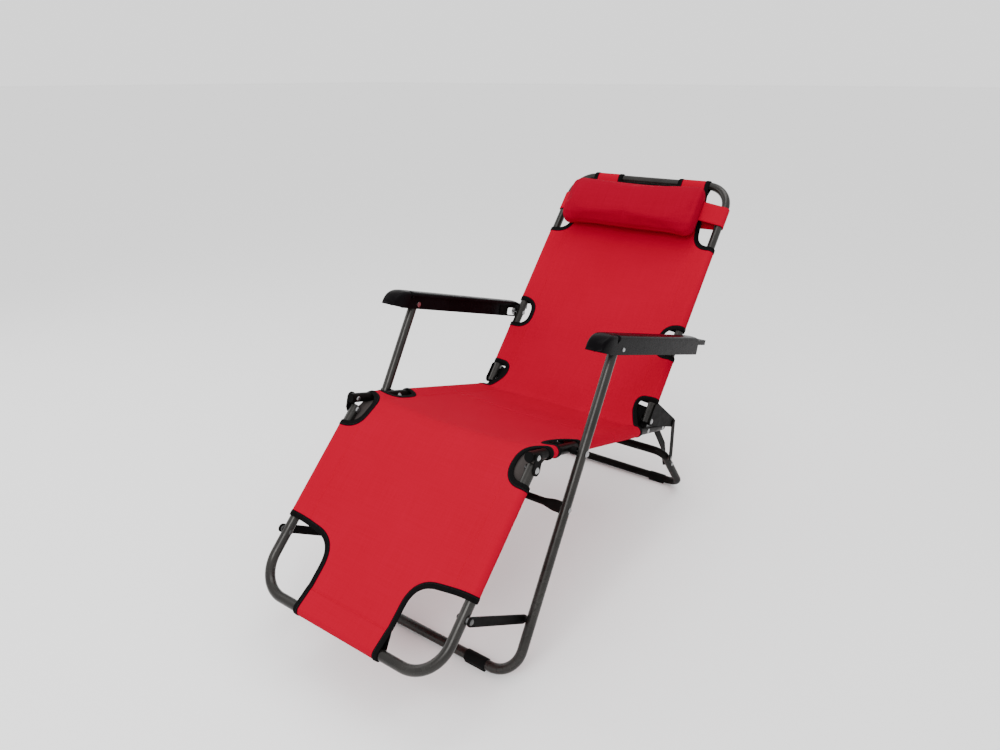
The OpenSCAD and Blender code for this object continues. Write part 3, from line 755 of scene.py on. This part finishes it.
# %% Shape of the pillow
def on_back(part):
    low, high = 1e9 * np.ones(3), -1e9 * np.ones(3)
    for vertex in frame["nodes"][part].data.vertices:
        side = np.array(vertex.co[1:]) - hip
        p = np.array([vertex.co[0], side @ back_run, side @ sitters_side(back_run)])
        low, high = np.minimum(low, p), np.maximum(high, p)
    return low, high

def off_back(points):
    points = np.asarray(points, float)
    side = hip + points[:, 1:2] * back_run + points[:, 2:3] * sitters_side(back_run)
    return np.column_stack([points[:, 0], side])

pillow_low, pillow_high = on_back("pillow")
pillow_mid, pillow_half = (pillow_low + pillow_high) / 2, (pillow_high - pillow_low) / 2
pillow_reach, pillow_shift = pillow_half[0] - 0.012, -0.006
pillow_mid[1] -= 0.008

def roll_section(angle):
    along = np.sign(np.cos(angle)) * np.abs(np.cos(angle)) ** 0.72
    out = np.sign(np.sin(angle)) * np.abs(np.sin(angle)) ** 0.80
    return along, np.where(out < 0, out * 0.92, out)

def pillow_shell(shrink=0.94, around=56, edge=0.020):
    angle = np.linspace(0, 2 * math.pi, around, endpoint=False)
    along, out = roll_section(angle)
    half = pillow_reach
    k = np.linspace(0, math.pi / 2, 7)
    xs = np.concatenate([-half + edge * (1 - np.cos(k)), np.linspace(-half + edge, half - edge, 30)[1:-1],
                         half - edge * (1 - np.cos(k[::-1]))])
    size = np.concatenate([1 - 0.22 * (1 - np.sin(k)), np.ones(28), 1 - 0.22 * (1 - np.sin(k[::-1]))])
    along, out = along * pillow_half[1] * shrink, out * pillow_half[2] * shrink
    rings = [np.column_stack([np.full(around, x + pillow_shift), pillow_mid[1] + along * s,
                              pillow_mid[2] + out * s]) for x, s in zip(xs, size)]
    return np.vstack(rings), tube_faces(len(xs), around, 0)

shell_points, shell_faces = pillow_shell()
pillow = face_outwards(piece("head_pillow_cushion", off_back(shell_points), shell_faces, pillow_cloth))
print("pillow", (2 * pillow_half).round(3))

# %% Stuff the pillow
def every_point(mesh):
    co = np.zeros(len(mesh.vertices) * 3)
    mesh.vertices.foreach_get("co", co)
    return co.reshape(-1, 3)

def keep_result(made):
    made.data = bpy.data.meshes.new_from_object(made.evaluated_get(bpy.context.evaluated_depsgraph_get()))
    made.modifiers.clear()

def even_mesh(made, voxel):
    remesh = made.modifiers.new("even", "REMESH")
    remesh.mode, remesh.voxel_size = "VOXEL", voxel
    keep_result(made)

def stuff(made, pressure, frames, cap):
    before = every_point(made.data)
    cloth = made.modifiers.new("stuffing", "CLOTH")
    cloth.settings.quality = 6
    cloth.settings.mass = 0.25
    cloth.settings.tension_stiffness = 18
    cloth.settings.compression_stiffness = 18
    cloth.settings.bending_stiffness = 0.6
    cloth.settings.use_pressure = True
    cloth.settings.uniform_pressure_force = pressure
    cloth.settings.effector_weights.gravity = 0
    cloth.point_cache.frame_end = frames
    for step in range(1, frames + 1):
        bpy.context.scene.frame_set(step)
    keep_result(made)
    bpy.context.scene.frame_set(1)
    after = every_point(made.data)
    moved = after - before
    far = np.linalg.norm(moved, axis=1)
    capped = before + moved * np.minimum(1, cap / np.maximum(far, 1e-9))[:, None]
    made.data.vertices.foreach_set("co", capped.ravel())
    return float(far.max())

even_mesh(pillow, 0.0055)
swell = stuff(pillow, 4.0, 20, 0.008)
print("the stuffing moved the cloth", round(swell, 4), "m at most")

# %% Press the seams in
def to_back(points):
    side = points[:, 1:] - hip
    return np.column_stack([points[:, 0], side @ back_run, side @ sitters_side(back_run)])

def press_seams(made):
    p = to_back(every_point(made.data))
    c = p - np.array([0, pillow_mid[1], pillow_mid[2]])
    reach = np.abs(p[:, 0] - pillow_shift) - (pillow_reach - 0.013)
    groove = 0.0022 * np.exp(-(reach / 0.0042) ** 2)
    pucker = 0.0006 * np.exp(-(reach / 0.016) ** 2) * np.sin(260 * c[:, 1] + 190 * c[:, 2])
    lower = 0.0030 * np.exp(-((c[:, 1] + pillow_half[1] * 0.80) / 0.010) ** 2) * (c[:, 2] > 0)
    soft = 0.0010 * np.sin(23 * p[:, 0] + 1.0) * np.sin(31 * c[:, 1])
    inwards = -c * np.array([0, 1, 1])
    inwards /= np.maximum(np.linalg.norm(inwards, axis=1), 1e-6)[:, None]
    p += inwards * (groove + pucker + lower + soft)[:, None]
    p[:, 2] = np.maximum(p[:, 2], pillow_low[2] - 0.001)
    made.data.vertices.foreach_set("co", off_back(p).ravel())

press_seams(pillow)
finer = pillow.modifiers.new("finer", "SUBSURF")
finer.levels = finer.render_levels = 1
keep_result(pillow)
pillow.data.materials.clear()
pillow.data.materials.append(pillow_cloth)
pillow.data.polygons.foreach_set("use_smooth", [True] * len(pillow.data.polygons))
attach(pillow, "head_pillow")
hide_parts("pillow")
print("pillow has", len(pillow.data.polygons), "faces")

# %% [markdown]
# A flat strap of the same cloth comes out of each end panel, goes round the back's tube and runs behind the
# sling to the other side, so the pillow can be slid up and down. It is modelled directly, as webbing is.

# %% Strap
strap_low, strap_high = on_back("pillow_strap")
strap_r = tube_r + 0.0022

def strap_path():
    start = np.array([pillow_reach - 0.022, pillow_mid[2] - 0.010])
    centre = np.array([tube_x, 0.0])
    away = start - centre
    first = math.atan2(away[1], away[0]) - math.acos(strap_r / np.hypot(*away))
    turn_round = np.linspace(first, -math.pi / 2, 26)
    touch = centre + strap_r * np.array([math.cos(first), math.sin(first)])
    side = np.vstack([np.linspace(start, touch, 12)[:-1],
                      centre + strap_r * np.column_stack([np.cos(turn_round), np.sin(turn_round)])])
    across = np.linspace([tube_x, -strap_r], [-tube_x, -strap_r], 60)[1:-1]
    across[:, 1] -= 0.0015 * np.sin(np.linspace(0, math.pi, len(across)))
    return np.vstack([side, across, (side * np.array([-1, 1]))[::-1]])

path = strap_path()
strap_t = np.linspace(strap_low[1] + 0.001, strap_high[1] - 0.001, 9)
wave = 0.0012 * np.sin(np.linspace(0, 9, len(path)))
strap_lines = [np.column_stack([path[:, 0], t + wave, path[:, 1]]) for t in strap_t]
strap_points = np.stack(strap_lines, 1).reshape(-1, 3)
columns = len(strap_t)
strap_faces = [(i * columns + j, i * columns + j + 1, (i + 1) * columns + j + 1, (i + 1) * columns + j)
               for i in range(len(path) - 1) for j in range(columns - 1)]
strap_length = float(np.linalg.norm(np.diff(path, axis=0), axis=1).sum())
strap_uv = np.stack(np.meshgrid(strap_t, np.linspace(0, strap_length, len(path))), -1).reshape(-1, 2)
strap = piece("pillow_strap_band", off_back(strap_points), strap_faces, red_cloth, strap_uv)
thicken(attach(strap, "head_pillow"), 0.0012)
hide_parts("pillow_strap")
hem_lines = [off_back(np.column_stack([path[:, 0], np.full(len(path), t), path[:, 1]]))
             for t in (strap_t[0] + 0.004, strap_t[-1] - 0.004)]
strap_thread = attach(sew("strap_stitches", hem_lines, red_thread, Thread=0.0010), "head_pillow")
print(f"strap {strap_length:.3f} m long")

# %% [markdown]
# Each armrest is one long moulding: a crowned top whose edges turn down, a nose that swells into a hood over
# the end of the leg tube, two side walls that make a channel for the tube, and a flat tongue at the back. The
# top is lofted through sections, the walls are flat plates with the slot that the back's pin runs in.

# %% Armrest sizes
arm_low, arm_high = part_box("armrest_left")
track_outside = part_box("armrest_track_left")[1].x
arm_side = sitters_side(seat_run)

def on_arm(point):
    d = np.asarray(point, float) - arm_pivot
    return np.array([d @ seat_run, d @ arm_side])

def arm_extent(part):
    p = np.array([on_arm(v.co[1:]) for v in frame["nodes"][part].data.vertices])
    return p.min(0), p.max(0)

arm_from, arm_to = arm_extent("armrest_left")
track_from, track_to = arm_extent("armrest_track_left")
arm_mid, arm_half = (arm_low.x + arm_high.x) / 2, (arm_high.x - arm_low.x) / 2
top, wall_low = arm_to[1], arm_from[1]
skirt_t, tongue_len = 0.0022, 0.060
body_end = arm_to[0] - tongue_len
slot_box = (track_from[0] + 0.040, track_to[0] - 0.007, -0.0106, 0.0106)
print(f"armrest from {arm_from[0]:.3f} to {arm_to[0]:.3f}, top {top:.3f}, slot from {slot_box[0]:.3f}")

# %% Loft the top and its hooded nose
def nose_height(y):
    k = np.clip((-0.046 - y) / (-0.046 - arm_from[0]), 0, 1)
    return top - (top + 0.003) * (1 - np.sqrt(1 - k ** 2.1))

def edge_height(y):
    hood = smooth_step((-0.026 - y) / 0.040)
    body = top - 0.0095
    hood_low, tip_low = wall_low + 0.004, -0.0065
    tip = hood_low + (tip_low - hood_low) * np.clip((-0.056 - y) / (-0.056 - arm_from[0]), 0, 1)
    return body + (tip - body) * hood

def top_section(y, columns=15):
    high, low = float(nose_height(y)), float(edge_height(y))
    low = min(low, high - 0.003)
    k = np.clip((-0.050 - y) / (-0.050 - arm_from[0]), 0, 1)
    half = arm_half * (1 - 0.20 * k ** 2.6)
    tail = smooth_step((y - body_end + 0.022) / 0.022)
    high, low = high - 0.006 * tail, low - 0.001 * tail
    shoulder = min(0.0085, (high - low) * 0.8)
    turn_down = np.linspace(0, math.pi / 2, 7)
    edge = [(-half, low), (-half, low + (high - shoulder - low) * 0.5)]
    edge += [(-half + shoulder * (1 - math.cos(a)), high - shoulder * (1 - math.sin(a))) for a in turn_down]
    flat = np.linspace(-half + shoulder, half - shoulder, columns)[1:-1]
    crown = [(x, high + 0.0014 * (1 - (x / (half - shoulder)) ** 2)) for x in flat]
    return edge + crown + [(-x, z) for x, z in edge[::-1]]

def arm_point(side, x, y, z):
    side_point = arm_pivot + y * seat_run + z * arm_side
    return (side * (arm_mid + x), side_point[0], side_point[1])

def loft_top(side):
    ys = np.concatenate([arm_from[0] + 0.0004 + 0.060 * (1 - np.cos(np.linspace(0, math.pi / 2, 16))),
                         np.linspace(-0.040, body_end - 0.024, 34),
                         np.linspace(body_end - 0.020, body_end, 8)])
    sections = [top_section(y) for y in ys]
    n = len(sections[0])
    points = [arm_point(side, x, y, z) for y, s in zip(ys, sections) for x, z in s]
    faces = [(i * n + j, (i + 1) * n + j, (i + 1) * n + j + 1, i * n + j + 1)
             for i in range(len(ys) - 1) for j in range(n - 1)]
    end = (len(ys) - 1) * n
    faces += [tuple(range(n)), tuple(range(end, end + n))]
    return points, faces

# %% Flat plates with holes
def plate(outline, holes, to_point, low, high):
    rings = [np.array(outline)] + [np.array(h) for h in holes]
    points = np.vstack(rings)
    starts = np.cumsum([0] + [len(r) for r in rings])
    loops = [list(range(a, b)) for a, b in zip(starts, starts[1:])]
    verts, _, faces, *_ = geometry.delaunay_2d_cdt([Vector(p) for p in points], [], loops, 1, 1e-7)
    verts = np.array([[p.x, p.y] for p in verts])
    middle = np.array([verts[list(f)].mean(0) for f in faces])
    keep = np.ones(len(faces), bool)
    for hole in rings[1:]:
        keep &= ~inside_outline(middle, hole)
    faces = [tuple(f) for f, k in zip(faces, keep) if k]
    n = len(verts)
    walls = [(a, b, b + n, a + n) for loop in loops for a, b in zip(loop, loop[1:] + loop[:1])]
    made = [to_point(low, *v) for v in verts] + [to_point(high, *v) for v in verts]
    return made, faces + [tuple(i + n for i in f[::-1]) for f in faces] + walls

def lift_front(outline, rise=0.0035, over=0.30):
    return [(y, z + rise * (z < 0) * (1 - smooth_step((y + 0.064) / over))) for y, z in outline]

def box_outline(y0, y1, z0, z1, r, steps=6):
    corners = [(y0 + r, z0 + r, 180), (y1 - r, z0 + r, 270), (y1 - r, z1 - r, 0), (y0 + r, z1 - r, 90)]
    turns = [(y, z, math.radians(a + 90 * k / steps)) for y, z, a in corners for k in range(steps + 1)]
    return [(y + r * math.cos(angle), z + r * math.sin(angle)) for y, z, angle in turns]

# %% Build both armrests
def build_armrest(name, side):
    body = "armrest_" + name
    skirt_in = (track_outside, track_outside + skirt_t)
    skirt_out = (arm_high.x - 0.0050, arm_high.x - 0.0022)

    def to_point(x, y, z):
        return arm_point(side, x - arm_mid, y, z)

    def flat_point(z, x, y):
        return to_point(x, y, z)

    parts = [loft_top(side)]
    wall = lift_front(box_outline(-0.064, body_end - 0.003, wall_low, 0.0265, 0.0045))
    slot_hole = box_outline(*slot_box, 0.0104)[::-1]
    parts.append(plate(wall, [slot_hole], to_point, *skirt_in))
    parts.append(plate(wall, [], to_point, *skirt_out))
    roof = [(skirt_in[0] + 0.001, -0.066), (skirt_out[1] - 0.001, -0.066),
            (skirt_out[1] - 0.001, body_end - 0.004), (skirt_in[0] + 0.001, body_end - 0.004)]
    parts.append(plate(roof, [], flat_point, 0.0182, 0.0205))
    tongue = [(skirt_in[0] + 0.002, body_end - 0.02), (skirt_out[1] - 0.001, body_end - 0.02),
              (skirt_out[1] - 0.001, arm_to[0] - 0.008), (skirt_out[1] - 0.009, arm_to[0] - 0.0005),
              (skirt_in[0] + 0.010, arm_to[0] - 0.0005), (skirt_in[0] + 0.002, arm_to[0] - 0.008)]
    parts.append(plate(tongue, [], flat_point, 0.0105, 0.0238))
    made = []
    for number, (points, faces) in enumerate(parts):
        part = piece(f"{body}_{('top', 'inner_wall', 'outer_wall', 'roof', 'tongue')[number]}", points, faces,
                     arm_plastic, smooth=number == 0)
        face_outwards(part)
        if number:
            edge = part.modifiers.new("soft edge", "BEVEL")
            edge.width, edge.segments, edge.limit_method = 0.0009, 2, "ANGLE"
        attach(part, body)
        made.append(part)
    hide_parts(body)
    return made

arms = build_armrest("left", 1) + build_armrest("right", -1)
print("armrest pieces:", len(arms))

# %% [markdown]
# The hollow of each knee and hip cut-out is closed from below by a small dark sheet. It lies just under the
# sling, ends against the tube and follows the sling's bend. These sheets are painted shade: they stand in for
# the shadow seen through the cut-outs. The knee sheets are dark grey cloth and the hip sheets are the black
# tape cloth.

# %% Painted shade sheets behind the knee and hip cut-outs
def shade_sheet_point(u, v, u_in):
    dip = smooth_step((u - u_in) / (tube_x - tube_r - u_in))
    up = (cloth_lift - 0.0018) * (1 - dip) - 0.006 * dip
    y, z = np.interp(v, line_v, line[:, 0]), np.interp(v, line_v, line[:, 1])
    ty = np.interp(v + 0.01, line_v, line[:, 0]) - np.interp(v - 0.01, line_v, line[:, 0])
    tz = np.interp(v + 0.01, line_v, line[:, 1]) - np.interp(v - 0.01, line_v, line[:, 1])
    size = np.hypot(ty, tz)
    return np.stack([u, y - tz / size * up, z + ty / size * up], -1)

def shade_sheet(name, side, u_in, v_from, v_to, material, goes, rows=30, across=14):
    u, v = np.meshgrid(np.linspace(u_in - 0.012, tube_x + 0.006, across), np.linspace(v_from, v_to, rows))
    hung = shade_sheet_point(u, v, u_in)
    hung[..., 0] *= side
    faces = [(i * across + j, i * across + j + 1, (i + 1) * across + j + 1, (i + 1) * across + j)[::side]
             for i in range(rows - 1) for j in range(across - 1)]
    made = piece(name, hung.reshape(-1, 3), faces, material, np.stack([u, v], -1).reshape(-1, 2))
    thicken(goes(made), cloth_t)
    return made

dip_from = 0.208
# All four sheets are painted shade. The hip sheets darken that hollow with the black tape cloth.
for side, word in ((1, "left"), (-1, "right")):
    shade_sheet("knee_shade_sheet_" + word, side, dip_from, v_on_rest(0.042), v_on_seat(-0.086), shade_grey_cloth,
           goes_with_front)
    shade_sheet("hip_shade_sheet_" + word, side, dip_from, v_on_seat(0.358), v_on_back(0.036), black_tape,
           goes_with_back)
print("four painted shade sheets")

# %% [markdown]
# The crossbar between the front legs is a thin tube whose two ends are pressed flat and riveted to the legs.
# Its section starts round and is squeezed to an oval paddle over the last few centimetres.

# %% Crossbar with pressed ends
bar_low, bar_high = [np.array(c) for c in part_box("leg_crossbar")]
bar_mid, bar_half = (bar_low + bar_high)[1:] / 2, (bar_high - bar_low)[0] / 2
up_the_leg = heading(bar_mid, leg_pivot)
off_the_leg = np.array([-up_the_leg[1], up_the_leg[0]])

bar_r, paddle_wide, paddle_thin = 0.008, 0.0128, 0.0038

def crossbar_points(around=28):
    inwards = np.concatenate([[0, 0.0006], np.linspace(0.002, 0.052, 22)])
    xs = np.concatenate([inwards - bar_half, bar_half - inwards[::-1]])
    angle = np.linspace(0, 2 * math.pi, around, endpoint=False)
    rings = []
    for x in xs:
        squeeze = float(smooth_step((abs(x) - (bar_half - 0.046)) / 0.034))
        blunt = 0.0006 * (bar_half - abs(x) < 0.0003)
        wide = bar_r + (paddle_wide - bar_r) * squeeze - blunt
        thin = bar_r + (paddle_thin - bar_r) * squeeze - blunt
        side = (bar_mid + wide * np.cos(angle)[:, None] * up_the_leg
                + thin * np.sin(angle)[:, None] * off_the_leg)
        rings.append(np.column_stack([np.full(around, x), side]))
    return np.vstack(rings), len(xs), around

bar_points, bar_rows, bar_around = crossbar_points()
crossbar = face_outwards(piece("crossbar_pressed", bar_points, tube_faces(bar_rows, bar_around, 0), rear_coat))
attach(crossbar, "front_legs")
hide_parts("leg_crossbar")
print(f"crossbar {2 * bar_half:.3f} m long")

# %% [markdown]
# The lounger stands on a plain pale floor. A wide soft light over the foot end does most of the work, a weaker
# one on the other side opens the shadows, and a long overhead box draws the thin highlights on the tubes.

# %% Floor and lights
floor = bpy.data.objects.new("floor", bpy.data.meshes.new("floor"))
floor.data.from_pydata([(-90, -90, 0), (90, -90, 0), (90, 90, 0), (-90, 90, 0)], [], [(0, 1, 2, 3)])
bpy.context.scene.collection.objects.link(floor)
floor_paint, _, floor_shader = finish("pale floor", 0.9, specular=0.1)
floor_shader.inputs["Base Color"].default_value = (0.92, 0.92, 0.92, 1)
floor.data.materials.append(floor_paint)
floor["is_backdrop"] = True

def soft_light(name, spot, aim, size, power):
    lamp = bpy.data.objects.new(name, bpy.data.lights.new(name, "AREA"))
    lamp.data.shape, lamp.data.size, lamp.data.size_y, lamp.data.energy = "RECTANGLE", size[0], size[1], power
    lamp.location = spot
    lamp.rotation_euler = (Vector(aim) - Vector(spot)).to_track_quat("-Z", "Y").to_euler()
    bpy.context.scene.collection.objects.link(lamp)
    return lamp

soft_light("key", (0.7, -2.7, 2.2), (0, -0.3, 0.4), (1.6, 1.2), 56)
soft_light("fill", (-2.6, -0.8, 1.8), (0, 0, 0.4), (1.6, 1.6), 16)
soft_light("overhead", (0.1, 0.3, 2.8), (0, 0, 0.3), (0.7, 2.4), 26)
world = bpy.data.worlds.new("studio")
bpy.context.scene.world = world
world.use_nodes = True
world.node_tree.nodes["Background"].inputs["Color"].default_value = (1, 1, 1, 1)
world.node_tree.nodes["Background"].inputs["Strength"].default_value = 1.5
print("lit")

# %% Measure
own_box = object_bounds()
for title, box in (("visual", own_box), ("cad", cad_box)):
    print(title, "box", [[round(x, 4) for x in corner] for corner in box])
